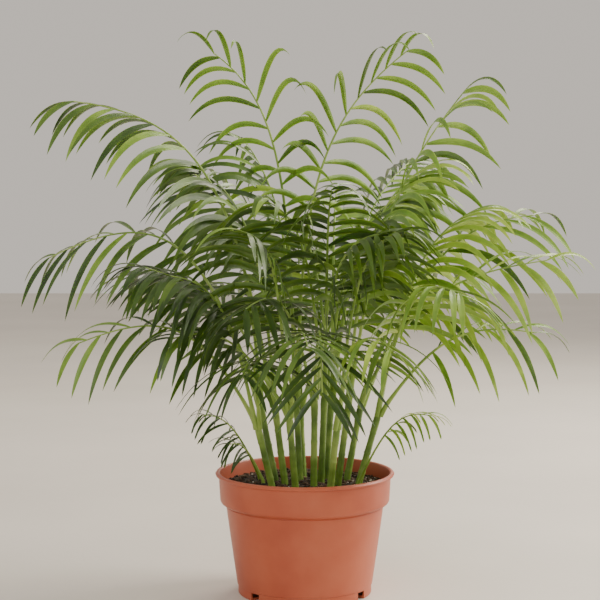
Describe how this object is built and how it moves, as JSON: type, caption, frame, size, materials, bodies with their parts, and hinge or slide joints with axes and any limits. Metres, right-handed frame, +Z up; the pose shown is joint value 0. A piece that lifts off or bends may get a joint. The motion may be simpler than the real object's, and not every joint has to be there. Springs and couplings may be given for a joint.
{
  "type": "potted parlor palm",
  "caption": "Bushy parlor palm with thin green canes and arching feathered fronds, in a round tapered plastic pot with a deep collar.",
  "frame": {"origin": "middle of the pot's flat underside, on the surface that it stands on", "axes": "+Z up along the pot's axis, +X to the right and -Y to the front as the picture shows the plant"},
  "size_m": [0.5613, 0.4546, 0.5598],
  "materials": {
    "pot_plastic": "satin, moulded",
    "potting_mix": "rough, crumbly",
    "cane": "smooth, waxy",
    "leaf": "semi-gloss leaf"
  },
  "bodies": {
    "root": {"pot": "pot_plastic", "soil": "potting_mix", "cane_01": "cane", "cane_02": "cane", "cane_03": "cane", "cane_04": "cane", "cane_05": "cane", "cane_06": "cane", "cane_07": "cane", "cane_08": "cane", "cane_09": "cane", "cane_10": "cane", "cane_11": "cane", "cane_12": "cane", "cane_13": "cane", "cane_14": "cane", "frond_left_high": "leaf", "frond_left_high_behind": "leaf", "frond_left_middle": "leaf", "frond_left_middle_front": "leaf", "frond_left_low": "leaf", "frond_left_low_behind": "leaf", "frond_left_small": "leaf", "frond_left_small_low": "leaf", "frond_top_left": "leaf", "frond_top_left_behind": "leaf", "frond_top_right": "leaf", "frond_top_behind": "leaf", "frond_right_high": "leaf", "frond_right_high_behind": "leaf", "frond_right_middle": "leaf", "frond_right_bright": "leaf", "frond_right_low": "leaf", "frond_right_small": "leaf", "frond_front_star": "leaf", "frond_right_inner_high": "leaf", "frond_left_inner_high": "leaf", "frond_front_left": "leaf", "frond_front_right": "leaf", "frond_middle_left": "leaf", "frond_middle_right": "leaf", "frond_right_inner": "leaf", "frond_right_under": "leaf", "frond_left_inner": "leaf", "frond_upright_01": "leaf", "frond_arching_02": "leaf", "frond_upright_03": "leaf", "frond_upright_04": "leaf", "frond_arching_05": "leaf", "frond_arching_06": "leaf", "frond_arching_07": "leaf", "frond_arching_08": "leaf", "frond_arching_09": "leaf", "frond_upright_10": "leaf", "frond_arching_11": "leaf", "frond_upright_12": "leaf", "frond_upright_13": "leaf", "frond_arching_14": "leaf", "frond_arching_15": "leaf"}
  },
  "joints": []
}
